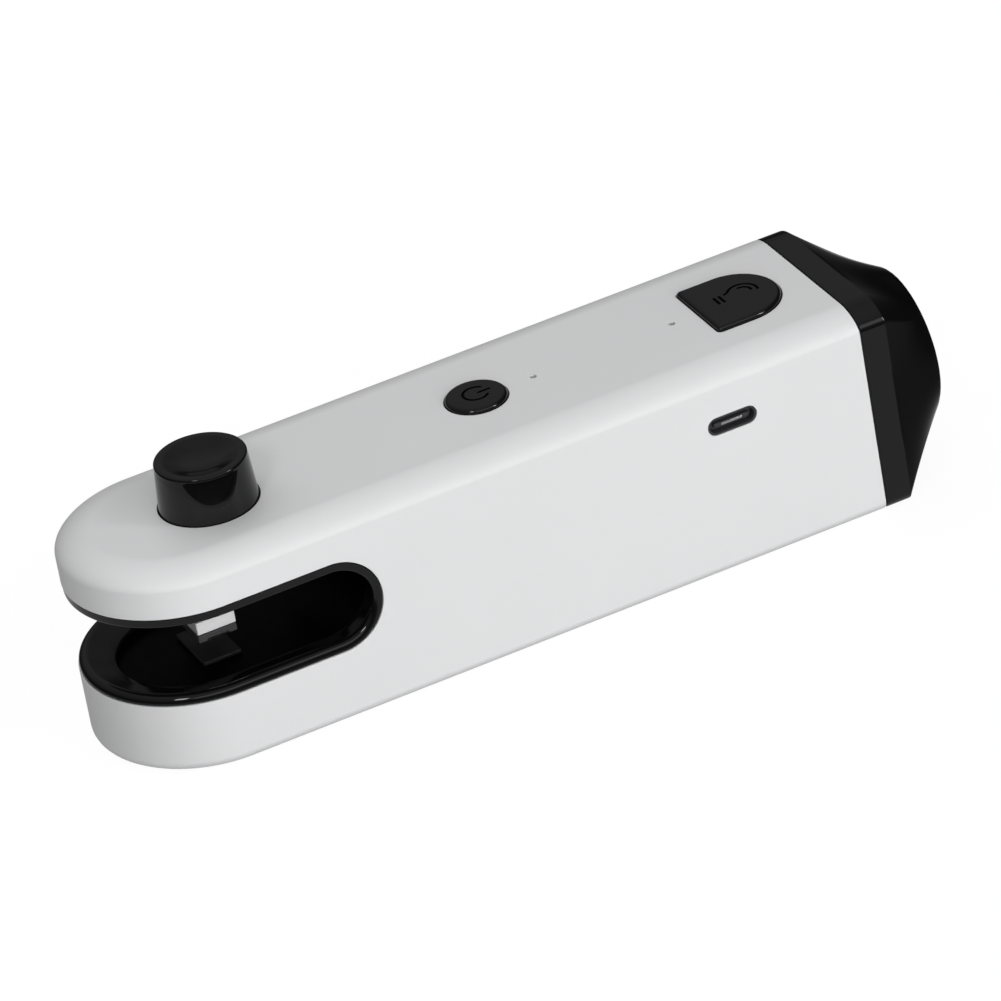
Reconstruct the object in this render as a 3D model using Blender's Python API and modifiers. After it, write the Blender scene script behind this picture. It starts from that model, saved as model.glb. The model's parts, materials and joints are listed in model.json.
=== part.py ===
"""Handheld bag heat sealer with a built-in vacuum pump.

X runs from the rounded nose (-X) to the suction mouth (+X), Y across and Z up. The origin is on the
floor, under the middle of the overall box. All sizes below are in millimetres, and MM turns them into
Blender's metres where a mesh is made.
"""

import math

import bmesh
import bpy
from mathutils import Matrix, Vector

MM = 0.001

# Casing
HALF_WIDTH = 20.0
HEIGHT = 38.6
NOSE_X = -59.0
CASING_END_X = 62.2
BAND_END_X = 67.2
MOUTH_X = 79.0
WALL = 2.0
FOOT_RADIUS = 2.0
SHOULDER_IN = 6.4
SHOULDER_DOWN = 3.2
SHOULDER_POWER = 1.8
GAP = 0.2

# Bag slot and its liner
SLOT_LOW = 13.65
SLOT_HIGH = 30.36
SLOT_RADIUS = (SLOT_HIGH - SLOT_LOW) / 2
SLOT_ARC_X = NOSE_X + 19.1
LIP = 1.5
LINER_GAP = 0.15
RECESS_INSET = 7.0
RECESS_FLOOR = 11.6
RECESS_END_X = -38.0
TUB_WALL = 1.2

# Press knob and heating head
KNOB_X = NOSE_X + 7.5
KNOB_TOP_RADIUS = 8.0
KNOB_BASE_RADIUS = 8.63
KNOB_RISE = 8.7
KNOB_FLANGE_RADIUS = 9.8
KNOB_BORE = 5.4
HEAD_X = (-60.15, -53.0)
HEAD_HALF_Y = 6.0
HEAD_LOW = 16.4
STEM_RADIUS = 2.2
PAD_TOP = 12.6

# Buttons, lights and charging port
POWER_X = NOSE_X + 58.03
POWER_RADIUS = 5.47
VACUUM_FLAT_X = NOSE_X + 100.56
VACUUM_ARC_X = NOSE_X + 107.54
VACUUM_RADIUS = 8.35
BUTTON_RISE = 0.78
BUTTON_GAP = 0.18
LIGHT_X = {"light_pipe_front": NOSE_X + 68.93, "light_pipe_rear": NOSE_X + 95.63}
PORT_X = NOSE_X + 95.45
PORT_Z = 28.35
PORT_LENGTH = 9.43
PORT_HEIGHT = 3.43

# Circuit board, pump and suction mouth
BOARD_TOP = 26.6
BOARD_THICK = 1.2
PUMP_Z = 14.0
MOTOR_RADIUS = 9.9
MOTOR_X = (8.0, 32.0)
CRANKCASE_X = (32.3, 44.0)
VALVE_X = (44.2, 48.2)
PUMP_HALF = 10.5
MOUTH_Z = 18.84
MOUTH_RADIUS = 13.5
MOUTH_BORE = 11.3

PARTS = bpy.data.collections.new("bag_heat_sealer")
CUTTERS = bpy.data.collections.new("cutters")


def clear_scene():
    for thing in list(bpy.data.objects):
        bpy.data.objects.remove(thing, do_unlink=True)
    bpy.context.scene.collection.children.link(PARTS)
    bpy.context.scene.collection.children.link(CUTTERS)


def make_material(name, colour, roughness, metallic=0.0):
    finish = bpy.data.materials.new(name)
    finish.use_nodes = True
    shader = finish.node_tree.nodes["Principled BSDF"]
    shader.inputs["Base Color"].default_value = (*colour, 1.0)
    shader.inputs["Roughness"].default_value = roughness
    shader.inputs["Metallic"].default_value = metallic
    finish.diffuse_color = (*colour, 1.0)
    return finish


def place(name, mesh, finish, origin=(0.0, 0.0, 0.0)):
    """A node of the part, or a cutter where it has no finish. Its mesh is in metres about its origin."""
    thing = bpy.data.objects.new(name, mesh)
    thing.location = Vector(origin) * MM
    if finish is None:
        thing.hide_render = True
        thing.display_type = "WIRE"
        CUTTERS.objects.link(thing)
    else:
        mesh.materials.append(finish)
        PARTS.objects.link(thing)
    return thing


def from_bmesh(name, shape, finish, origin=(0.0, 0.0, 0.0)):
    """Takes a bmesh in world millimetres."""
    bmesh.ops.recalc_face_normals(shape, faces=shape.faces)
    bmesh.ops.translate(shape, verts=shape.verts, vec=-Vector(origin))
    bmesh.ops.scale(shape, verts=shape.verts, vec=(MM, MM, MM))
    mesh = bpy.data.meshes.new(name)
    shape.to_mesh(mesh)
    shape.free()
    return place(name, mesh, finish, origin)


def box(name, low, high, finish=None, bevel=0.0):
    low, high = Vector(low), Vector(high)
    shape = bmesh.new()
    size = Matrix.Diagonal((*(high - low), 1.0))
    bmesh.ops.create_cube(shape, size=1.0, matrix=Matrix.Translation((low + high) / 2) @ size)
    thing = from_bmesh(name, shape, finish)
    if bevel:
        round_edges(thing, bevel)
    return thing


def round_edges(thing, width, segments=2):
    edge = thing.modifiers.new("edges", "BEVEL")
    edge.width = width * MM
    edge.segments = segments
    edge.limit_method = "ANGLE"
    edge.angle_limit = math.radians(40)


AXES = {"x": Matrix.Rotation(math.pi / 2, 4, "Y"), "y": Matrix.Rotation(-math.pi / 2, 4, "X"), "z": Matrix()}


def rod(name, start, axis, radius, length, finish=None, sides=16):
    """A cylinder from start along the positive axis."""
    shape = bmesh.new()
    middle = Matrix.Translation((0, 0, length / 2))
    bmesh.ops.create_cone(
        shape, cap_ends=True, segments=sides, radius1=radius, radius2=radius, depth=length,
        matrix=Matrix.Translation(start) @ AXES[axis] @ middle,
    )
    return smooth(from_bmesh(name, shape, finish))


def turned(name, profile, origin, axis="z", finish=None, sides=24, closed=False):
    """Turns (radius, height) points about an axis through origin, given down the outer side."""
    mesh = bpy.data.meshes.new(name)
    points = [(radius * MM, 0.0, height * MM) for radius, height in profile]
    edges = [(i, i + 1) for i in range(len(points) - 1)]
    if closed:
        edges.append((len(points) - 1, 0))
    mesh.from_pydata(points, edges, [])
    thing = place(name, mesh, finish, origin)
    thing.rotation_euler = AXES[axis].to_euler()
    lathe = thing.modifiers.new("lathe", "SCREW")
    lathe.steps = sides
    lathe.render_steps = sides
    lathe.use_merge_vertices = True
    lathe.merge_threshold = 1e-6
    return thing


def smooth(thing, angle=35.0):
    thing.data.shade_smooth()
    thing.data.set_sharp_from_angle(angle=math.radians(angle))
    return thing


def prism(name, outline, low, high, finish=None, along="z"):
    """An outline in X and Y carried up Z, or one in X and Z carried along Y."""
    shape = bmesh.new()
    corner = {"z": lambda a, b: (a, b, low), "y": lambda a, b: (a, low, b)}[along]
    face = shape.faces.new([shape.verts.new(corner(a, b)) for a, b in outline])
    grown = bmesh.ops.extrude_face_region(shape, geom=[face])
    new = [item for item in grown["geom"] if isinstance(item, bmesh.types.BMVert)]
    way = Vector((0, 0, high - low)) if along == "z" else Vector((0, high - low, 0))
    bmesh.ops.translate(shape, verts=new, vec=way)
    return smooth(from_bmesh(name, shape, finish))


def loft(name, rings, finish=None):
    """A closed skin through rings of as many points each, with flat ends."""
    shape = bmesh.new()
    rows = [[shape.verts.new(point) for point in ring] for ring in rings]
    count = len(rows[0])
    for lower, upper in zip(rows, rows[1:]):
        for i in range(count):
            j = (i + 1) % count
            shape.faces.new((lower[i], lower[j], upper[j], upper[i]))
    shape.faces.new(rows[0][::-1])
    shape.faces.new(rows[-1])
    return smooth(from_bmesh(name, shape, finish))


def boolean(thing, operation, *others):
    for other in others:
        step = thing.modifiers.new(operation.lower(), "BOOLEAN")
        step.operation = operation
        step.object = other
    return thing


def cut(thing, *cutters):
    return boolean(thing, "DIFFERENCE", *cutters)


def join(thing, *others):
    return boolean(thing, "UNION", *others)


def smooth_route(route, steps):
    """Points of a Catmull-Rom curve through the route's own points."""
    knots = [Vector(point) for point in route]
    knots = [2 * knots[0] - knots[1], *knots, 2 * knots[-1] - knots[-2]]
    points = []
    for before, start, end, after in zip(knots, knots[1:], knots[2:], knots[3:]):
        for step in range(steps):
            t = step / steps
            bend = (2 * before - 5 * start + 4 * end - after) * t * t
            swing = (3 * start - before - 3 * end + after) * t ** 3
            points.append((2 * start + (end - before) * t + bend + swing) / 2)
    points.append(knots[-2])
    return points


def wire(name, points, radius, finish, bevel_resolution=1):
    """A round wire along points, as a poly curve."""
    curve = bpy.data.curves.new(name, "CURVE")
    curve.dimensions = "3D"
    curve.bevel_depth = radius * MM
    curve.bevel_resolution = bevel_resolution
    curve.use_fill_caps = True
    spline = curve.splines.new("POLY")
    spline.points.add(len(points) - 1)
    for knot, point in zip(spline.points, points):
        knot.co = (*(Vector(point) * MM), 1.0)
    curve.materials.append(finish)
    thing = bpy.data.objects.new(name, curve)
    PARTS.objects.link(thing)
    return thing


def plan(inset, end_x, nose_x=NOSE_X, steps=18):
    """The casing's outline from above, moved in by inset: a half-round nose and a square end."""
    reach = HALF_WIDTH - inset
    turns = [math.pi * (1.5 - i / steps) for i in range(steps + 1)]
    nose = [(nose_x + reach * math.cos(turn), reach * math.sin(turn)) for turn in turns]
    return [(end_x, -reach), *nose, (end_x, reach)]


def shoulder(steps=5):
    """(inset, height) points of the soft top edge, from the side wall to the flat top."""
    points = []
    for i in range(steps + 1):
        turn = math.pi / 2 * i / steps
        inward = SHOULDER_IN * (1 - math.cos(turn) ** (2 / SHOULDER_POWER))
        points.append((inward, HEIGHT - SHOULDER_DOWN + SHOULDER_DOWN * math.sin(turn) ** (2 / SHOULDER_POWER)))
    return points


def slot_outline(inward):
    """The slot seen from the side, made smaller by inward, open past the nose."""
    radius = SLOT_RADIUS - inward
    middle = (SLOT_LOW + SLOT_HIGH) / 2
    turns = [-math.pi / 2 + math.pi * i / 16 for i in range(17)]
    arc = [(SLOT_ARC_X + radius * math.cos(turn), middle + radius * math.sin(turn)) for turn in turns]
    front = NOSE_X - 2 * HALF_WIDTH
    return [(front, middle - radius), *arc, (front, middle + radius)]


def stadium(length, height, steps=8):
    """A slot with round ends, about its own centre."""
    radius = height / 2
    flat = length / 2 - radius
    right = [-math.pi / 2 + math.pi * i / steps for i in range(steps + 1)]
    points = [(flat + radius * math.cos(turn), radius * math.sin(turn)) for turn in right]
    return points + [(-a, -b) for a, b in points]


def d_outline(grow, steps=14):
    """The vacuum button from above: a flat front edge, straight sides and a half-round back."""
    radius = VACUUM_RADIUS + grow
    turns = [-math.pi / 2 + math.pi * i / steps for i in range(steps + 1)]
    arc = [(VACUUM_ARC_X + radius * math.cos(turn), radius * math.sin(turn)) for turn in turns]
    return [(VACUUM_FLAT_X - grow, -radius), *arc, (VACUUM_FLAT_X - grow, radius)]


# ---------------------------------------------------------------- casing


def make_housing(white):
    foot = [(FOOT_RADIUS * (1 - math.sin(turn)), FOOT_RADIUS * (1 - math.cos(turn)))
            for turn in (0.0, math.pi / 6, math.pi / 3, math.pi / 2)]
    section = foot + shoulder()
    outside = [[(x, y, z) for x, y in plan(inset, CASING_END_X)] for inset, z in section]
    housing = loft("housing", outside, white)

    past_end = CASING_END_X + 5
    section = [(WALL, WALL)] + [(WALL + inset, z - WALL) for inset, z in shoulder(4)]
    hollow = loft("cut_hollow", [[(x, y, z) for x, y in plan(inset, past_end)] for inset, z in section])
    slot = prism("cut_slot", slot_outline(0.0), -30.0, 30.0, along="y")
    floor = prism("cut_floor", plan(5.0, 56.2), -5.0, WALL + 1.0)
    knob_hole = rod("cut_knob_hole", (KNOB_X, 0, 33), "z", KNOB_BASE_RADIUS + 0.25, 10, sides=40)
    power_hole = rod("cut_power_hole", (POWER_X, 0, 33), "z", POWER_RADIUS + BUTTON_GAP, 10, sides=32)
    vacuum_hole = prism("cut_vacuum_hole", d_outline(BUTTON_GAP), 33.0, 43.0)
    port = prism("cut_port", [(PORT_X + a, PORT_Z + b) for a, b in stadium(PORT_LENGTH, PORT_HEIGHT)],
                 -25.0, -15.0, along="y")
    cut(housing, hollow, slot, floor, knob_hole, power_hole, vacuum_hole, port)
    for name, x in LIGHT_X.items():
        cut(housing, rod(f"cut_{name}", (x, 0, 33), "z", 0.62, 10, sides=12))
    return housing


COVER_SCREWS = [(-66.0, 6.0), (-66.0, -6.0), (53.4, 11.6), (53.4, -11.6)]


def make_base_cover(white, steel):
    cover = prism("base_cover", plan(5.3, 55.9), 0.0, 1.6, white)
    for i, x in enumerate((34.0, 37.0, 40.0, 43.0)):
        cut(cover, box(f"cut_vent_{i + 1}", (x - 0.6, -5, -1), (x + 0.6, 5, 3)))
    for i, (x, y) in enumerate(COVER_SCREWS):
        clearance = [(0, 3), (1.2, 3), (1.2, 1.0), (2.2, -0.1), (2.2, -1), (0, -1)]
        cut(cover, turned(f"cut_cover_screw_{i + 1}", clearance, (x, y, 0), sides=12))
        screw = [(0, 7.0), (0.85, 7.0), (0.85, 1.1), (1.85, 0.15), (0, 0.15)]
        turned(f"cover_screw_{i + 1}", screw, (x, y, 0), finish=steel, sides=12)


def make_slot_liner(black):
    """The black moulding that lines the slot: a lip all round, and a recess in the lower jaw."""
    liner = prism("slot_liner", slot_outline(LINER_GAP), -HALF_WIDTH, HALF_WIDTH, black, along="y")
    in_plan = prism("keep_liner_plan", plan(LINER_GAP, -20.0), 0.0, 35.0)
    boolean(liner, "INTERSECT", in_plan)
    cut(liner, prism("cut_liner_slot", slot_outline(LIP), -30.0, 30.0, along="y"))
    tub = prism("join_liner_tub", plan(RECESS_INSET - TUB_WALL, RECESS_END_X + TUB_WALL),
                RECESS_FLOOR - 1.2, SLOT_LOW + 0.9)
    recess = prism("cut_liner_recess", plan(RECESS_INSET, RECESS_END_X), RECESS_FLOOR, SLOT_LOW + LIP + 1.0)
    bush_hole = rod("cut_liner_bush", (KNOB_X, 0, 27.5), "z", 4.3, 5, sides=24)
    join(liner, tub)
    cut(liner, recess, bush_hole)


def cap_section(inset, lower=0.0):
    """Half of the cap's band in Y and Z, from the floor's middle up to the top's middle."""
    low, high, side = inset, HEIGHT - inset, HALF_WIDTH - inset
    corner = side - FOOT_RADIUS * 0.29, low + FOOT_RADIUS * 0.29
    crease = HEIGHT - SHOULDER_DOWN + 0.6 - inset * 0.8 - lower
    half = [(y, low) for y in (0.0, 4.2, 8.6, 13.2, side - FOOT_RADIUS)] + [corner]
    half += [(side, z) for z in (low + FOOT_RADIUS, 6.5, 10.5, 14.7, 19.0, 23.3, 27.5, 31.0, crease)]
    half += [(side - 1.9, crease + 1.15), (side - 4.0, crease + 2.0)]
    return half + [(y, high) for y in (side - SHOULDER_IN, 9.4, 6.2, 3.1, 0.0)]


def cap_ring(x, inset, blend, radius, lower=0.0):
    """The band's section at x, moved by blend towards a circle of the mouth."""
    half = cap_section(inset, lower)
    whole = half + [(-y, z) for y, z in half[-2:0:-1]]
    ring = []
    for y, z in whole:
        turn = math.atan2(z - MOUTH_Z, y)
        round_y, round_z = radius * math.cos(turn), MOUTH_Z + radius * math.sin(turn)
        ring.append((x, y + (round_y - y) * blend, z + (round_z - z) * blend))
    return ring


def make_rear_cap(black):
    taper = [(BAND_END_X + (MOUTH_X - BAND_END_X) * t, t + 0.35 * t * (1 - t)) for t in (0.0, 0.33, 0.67, 1.0)]
    outside = [cap_ring(CASING_END_X + GAP, 0.0, 0.0, MOUTH_RADIUS)]
    outside += [cap_ring(x, 0.0, blend, MOUTH_RADIUS) for x, blend in taper]
    cap = loft("rear_cap", outside, black)
    spigot = loft("join_cap_spigot", [cap_ring(x, WALL + 0.25, 0.0, MOUTH_BORE, 1.2) for x in (58.2, 64.0)])
    inside = [(57.0, 0.0), (BAND_END_X, 0.0), (72.0, 1.0), (MOUTH_X + 2, 1.0)]
    hollow = loft("cut_cap_hollow", [cap_ring(x, WALL + 1.7, blend, MOUTH_BORE, 1.2) for x, blend in inside])
    join(cap, spigot)
    cut(cap, hollow)


def make_mouth(rubber, dark):
    seal = [(10.4, 2.6), (11.0, 2.3), (11.0, 0.0), (9.9, 0.0), (9.9, 2.2)]
    turned("mouth_seal", seal, (76.3, 0, MOUTH_Z), "x", rubber, sides=32, closed=True)
    disc = [(0, 1.5), (10.9, 1.5), (10.9, 0.0), (2.4, 0.0), (2.4, -3.0), (0, -3.0)]
    grille = turned("inlet_grille", disc, (72.4, 0, MOUTH_Z), "x", dark, sides=32)
    for i in range(6):
        turn = math.pi / 3 * i
        y, z = 6.5 * math.cos(turn), MOUTH_Z + 6.5 * math.sin(turn)
        cut(grille, rod(f"cut_grille_{i + 1}", (71, y, z), "x", 1.6, 5, sides=12))


# ---------------------------------------------------------------- press knob and heating head


def make_press_knob(black):
    top = HEIGHT + KNOB_RISE
    roof = top - 3.0
    dish = [(0.0, top - 1.0), (2.4, top - 0.96), (4.6, top - 0.8), (5.8, top - 0.45), (6.4, top - 0.08)]
    rim = [(6.8, top), (7.6, top), (KNOB_TOP_RADIUS, top - 0.3)]
    skirt = [(KNOB_BASE_RADIUS, HEIGHT), (KNOB_BASE_RADIUS, 36.2), (KNOB_FLANGE_RADIUS, 36.2)]
    inside = [(KNOB_FLANGE_RADIUS, 35.0), (KNOB_BORE, 35.0), (KNOB_BORE, roof), (0.0, roof)]
    profile = [(radius, height - HEIGHT) for radius, height in dish + rim + skirt + inside]
    knob = turned("press_knob", profile, (KNOB_X, 0, HEIGHT), finish=black, sides=40)
    shape = bmesh.new()
    across = Matrix.Rotation(math.radians(-8), 4, "Z")
    stretch = Matrix.Diagonal((4.6, 2.3, 4.4, 1.0))
    spot = Matrix.Translation((KNOB_X - 1.2, -KNOB_BASE_RADIUS - 0.4, HEIGHT + 6.6))
    bmesh.ops.create_uvsphere(shape, u_segments=16, v_segments=10, radius=1.0, matrix=spot @ across @ stretch)
    cut(knob, from_bmesh("cut_knob_scoop", shape, None))


def make_plunger(steel, brass, dark, aluminium, ceramic, alloy):
    low = 24.0
    rod("plunger_stem", (KNOB_X, 0, low), "z", STEM_RADIUS, 44.0 - low, steel, sides=20)

    bush = [(4.9, 31.7), (4.9, 30.5), (4.0, 30.5), (4.0, 29.0), (2.3, 29.0), (2.3, 31.7)]
    turned("guide_bush", bush, (KNOB_X, 0, 0), finish=brass, sides=20, closed=True)

    turns, per_turn, start, end = 6, 14, 32.2, 43.8
    coil = []
    for i in range(turns * per_turn + 1):
        turn = 2 * math.pi * i / per_turn
        rise = start + (end - start) * i / (turns * per_turn)
        coil.append((KNOB_X + 4.0 * math.cos(turn), 4.0 * math.sin(turn), rise))
    wire("return_spring", coil, 0.33, steel)

    carrier = box("head_carrier", (HEAD_X[0], -5.0, 20.5), (-47.6, 5.0, 28.5), dark, bevel=0.5)
    cut(carrier, rod("cut_carrier_socket", (KNOB_X, 0, low - 0.2), "z", STEM_RADIUS + GAP, 6, sides=20))

    near, far = -HEAD_HALF_Y, HEAD_HALF_Y
    box("heater_block", (HEAD_X[0], near, 18.0), (HEAD_X[1], far, 20.35), aluminium, bevel=0.15)
    tip = box("heater_tip", (HEAD_X[0], near, HEAD_LOW), (HEAD_X[1], far, 17.85), ceramic, bevel=0.15)
    middle = (HEAD_X[0] + HEAD_X[1]) / 2
    cut(tip, box("cut_tip_groove", (middle - 2.0, -8, HEAD_LOW - 1), (middle + 2.0, 8, HEAD_LOW + 0.5)))
    box("heating_ribbon", (middle - 1.8, near + 0.2, HEAD_LOW + 0.05), (middle + 1.8, far - 0.2, HEAD_LOW + 0.35),
        alloy)


def make_lower_jaw(silicone, dark):
    box("anvil_pad", (HEAD_X[0], -HEAD_HALF_Y, RECESS_FLOOR + 0.15), (HEAD_X[1], HEAD_HALF_Y, PAD_TOP), silicone,
        bevel=0.2)
    support = box("anvil_support", (-70.0, -9.0, 1.9), (-42.0, 9.0, RECESS_FLOOR - 1.4), dark, bevel=0.6)
    for i, (x, y) in enumerate(COVER_SCREWS[:2]):
        cut(support, rod(f"cut_support_screw_{i + 1}", (x, y, 0), "z", 1.0, 8, sides=12))


def make_press_switch(dark, copper):
    box("press_switch", (KNOB_X - 3, -9.4, 30.4), (KNOB_X + 3, -6.4, 31.15), dark)
    box("heater_terminal", (-40.6, -3.6, 30.7), (-36.8, 3.6, 34.0), dark, bevel=0.3)
    for name, y in (("heater_lead_1", 2.0), ("heater_lead_2", -2.0)):
        route = [(-36.5, y, 32.6), (-33.5, y, 33.4), (-29.5, y * 1.4, 31.0), (-27.5, y * 1.5, 26.9)]
        wire(name, smooth_route(route, 4), 0.5, copper)


# ---------------------------------------------------------------- buttons, board and port


def make_buttons(black, dark, lens, led):
    top = HEIGHT + BUTTON_RISE
    profile = [(0, top), (POWER_RADIUS - 0.3, top), (POWER_RADIUS, top - 0.3), (POWER_RADIUS, 36.3)]
    profile += [(POWER_RADIUS + 0.8, 36.3), (POWER_RADIUS + 0.8, 35.2), (1.8, 35.2), (1.8, 31.25), (0, 31.25)]
    turned("power_button", [(radius, z - HEIGHT) for radius, z in profile], (POWER_X, 0, HEIGHT),
           finish=black, sides=32)

    vacuum = prism("vacuum_button", d_outline(0.0), 36.0, top, black)
    flange = prism("join_vacuum_flange", d_outline(0.7), 35.2, 36.3)
    stem = rod("join_vacuum_stem", (VACUUM_ARC_X, 0, 31.25), "z", 1.8, 4.2, sides=16)
    join(vacuum, flange, stem)
    round_edges(vacuum, 0.25)

    for name, x in (("power_switch", POWER_X), ("vacuum_switch", VACUUM_ARC_X)):
        body = box(name, (x - 3, -3, BOARD_TOP + 0.15), (x + 3, 3, 30.1), dark)
        cut(body, rod(f"cut_{name}", (x, 0, 29.0), "z", 1.9, 4))
        rod(f"{name}_plunger", (x, 0, 29.7), "z", 1.7, 1.4, black, sides=14)

    for name, x in LIGHT_X.items():
        pipe = [(0, 38.5), (0.45, 38.5), (0.45, 36.2), (1.3, 36.2), (1.3, 27.7), (0, 27.7)]
        turned(name, pipe, (x, 0, 0), finish=lens, sides=12)
        chip = name.replace("light_pipe", "led")
        box(chip, (x - 0.8, -0.4, BOARD_TOP + 0.15), (x + 0.8, 0.4, 27.4), led)


def make_board(green, dark, copper):
    box("main_board", (-30.0, -17.0, BOARD_TOP - BOARD_THICK), (53.0, 17.0, BOARD_TOP), green)
    base = BOARD_TOP + 0.15
    box("power_transistor", (-17.0, 5.0, base), (-10.5, 11.6, base + 2.3), dark, bevel=0.2)
    rod("inductor", (-14.0, -7.5, base), "z", 3.4, 3.2, copper, sides=20)
    box("control_chip", (18.0, 4.0, base), (25.0, 11.0, base + 1.0), dark)
    box("charge_chip", (22.0, -11.5, base), (26.0, -7.5, base + 0.9), dark)


def make_port(steel, dark):
    ring = [(PORT_X + a, PORT_Z + b) for a, b in stadium(8.94, 3.26)]
    hole = [(PORT_X + a, PORT_Z + b) for a, b in stadium(8.34, 2.66)]
    shell = prism("usb_port_shell", ring, -19.2, -11.9, steel, along="y")
    cut(shell, prism("cut_port_shell", hole, -20.0, -10.0, along="y"))
    tongue = box("usb_port_tongue", (PORT_X - 3.3, -18.2, PORT_Z - 0.35), (PORT_X + 3.3, -12.8, PORT_Z + 0.35), dark)
    plug = [(PORT_X + a, PORT_Z + b) for a, b in stadium(8.04, 2.36)]
    join(tongue, prism("join_port_back", plug, -13.4, -12.0, along="y"))


# ---------------------------------------------------------------- chassis, battery and pump


def make_chassis(grey):
    chassis = box("chassis", (-31.0, -17.4, 2.3), (57.0, 17.4, 3.3), grey)
    rails = [box(f"join_rail_{side}", (-30.0, min(a, b), 2.5), (53.0, max(a, b), BOARD_TOP - BOARD_THICK - GAP))
             for side, a, b in (("left", -17.3, -16.1), ("right", 16.1, 17.3))]
    ribs = [box(f"join_rib_{i + 1}", (x, -16.5, 3.0), (x + 1.2, 16.5, 6.6)) for i, x in enumerate((-29.9, 5.2))]
    bosses = [rod(f"join_boss_{i + 1}", (x, y, 3.0), "z", 2.4, 5.0, sides=16)
              for i, (x, y) in enumerate(COVER_SCREWS[2:])]
    join(chassis, *rails, *ribs, *bosses)
    for i, (x, y) in enumerate(COVER_SCREWS[2:]):
        cut(chassis, rod(f"cut_boss_{i + 1}", (x, y, 1.0), "z", 1.0, 8.0, sides=12))


def make_battery(wrap, red, dark):
    box("battery_cell", (-28.0, -15.0, 3.6), (4.0, 15.0, 14.6), wrap, bevel=1.5)
    for name, y, finish in (("battery_lead_red", 9.0, red), ("battery_lead_black", -9.0, dark)):
        route = [(4.3, y, 11.0), (6.0, y, 12.6), (6.6, y, 19.0), (6.0, y, 25.1)]
        wire(name, smooth_route(route, 4), 0.6, finish)


def make_pump(steel, dark, grey, rubber, red):
    can_end = MOTOR_X[1] - MOTOR_X[0]
    can = [(0, can_end - 3), (1.2, can_end - 3), (1.2, can_end), (3.0, can_end), (3.0, can_end - 0.6),
           (MOTOR_RADIUS - 0.8, can_end - 0.6), (MOTOR_RADIUS, can_end - 1.4), (MOTOR_RADIUS, 0.8),
           (MOTOR_RADIUS - 0.8, 0), (0, 0)]
    turned("motor_can", can, (MOTOR_X[0], 0, PUMP_Z), "x", steel, sides=28)
    rod("motor_shaft", (29.4, 0, PUMP_Z), "x", 1.0, 7.0, steel, sides=14)

    crank = rod("drive_crank", (33.9, 0, PUMP_Z), "x", 4.2, 3.4, grey, sides=20)
    join(crank, rod("join_crank_pin", (37.0, 1.5, PUMP_Z), "x", 0.8, 2.6, sides=12))
    cut(crank, rod("cut_crank_bore", (33.0, 0, PUMP_Z), "x", 1.15, 3.6, sides=14))

    low, high = PUMP_Z - PUMP_HALF, PUMP_Z + PUMP_HALF
    case = box("crankcase", (CRANKCASE_X[0], -PUMP_HALF, low), (CRANKCASE_X[1], PUMP_HALF, high), dark, bevel=1.0)
    cut(case, rod("cut_case_bore", (33.4, 0, PUMP_Z), "x", 9.0, 15, sides=28))
    cut(case, rod("cut_case_shaft", (31, 0, PUMP_Z), "x", 1.6, 5, sides=14))

    plate = [(0, 3.0), (7.6, 3.0), (7.6, 1.8), (4.2, 1.8), (4.2, 0), (2.7, 0), (2.7, 1.9), (0, 1.9)]
    turned("wobble_plate", plate, (38.2, 0, PUMP_Z), "x", grey, sides=24)
    rod("diaphragm", (41.5, 0, PUMP_Z), "x", 8.7, 2.2, rubber, sides=24)

    cover = box("valve_cover", (VALVE_X[0], -PUMP_HALF, low), (VALVE_X[1], PUMP_HALF, high), grey, bevel=0.8)
    join(cover, rod("join_valve_barb", (VALVE_X[1] - 0.6, 0, PUMP_Z), "x", 2.2, 4.4, sides=16))
    cut(cover, rod("cut_valve_way", (43, 0, PUMP_Z), "x", 1.0, 12, sides=12))
    corners = [(y, z) for y in (-8.4, 8.4) for z in (-8.4, 8.4)]
    for i, (y, z) in enumerate(corners):
        spot = (VALVE_X[0], y, PUMP_Z + z)
        way = rod(f"cut_pump_screw_{i + 1}", (36.0, y, PUMP_Z + z), "x", 0.95, 20, sides=10)
        cut(case, way)
        cut(cover, way)
        head = VALVE_X[1] - VALVE_X[0] + GAP
        screw = [(0, head + 1.2), (1.6, head + 1.2), (1.6, head), (0.75, head), (0.75, -6.5), (0, -6.5)]
        turned(f"pump_screw_{i + 1}", screw, spot, "x", steel, sides=10)

    for name, y, finish in (("motor_lead_red", 5.0, red), ("motor_lead_black", -5.0, dark)):
        route = [(7.7, y, 15.5), (6.9, y, 17.5), (6.9, y, 21.5), (8.2, y, 25.1)]
        wire(name, smooth_route(route, 4), 0.45, finish)


def make_suction_tube(silicone):
    route = [(52.3, 0, PUMP_Z), (56.0, 0, PUMP_Z + 0.2), (61.0, 0, 16.4), (65.6, 0, MOUTH_Z - 0.2)]
    route.append((69.1, 0, MOUTH_Z))
    wire("suction_tube", smooth_route(route, 4), 2.2, silicone, bevel_resolution=2)


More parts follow.
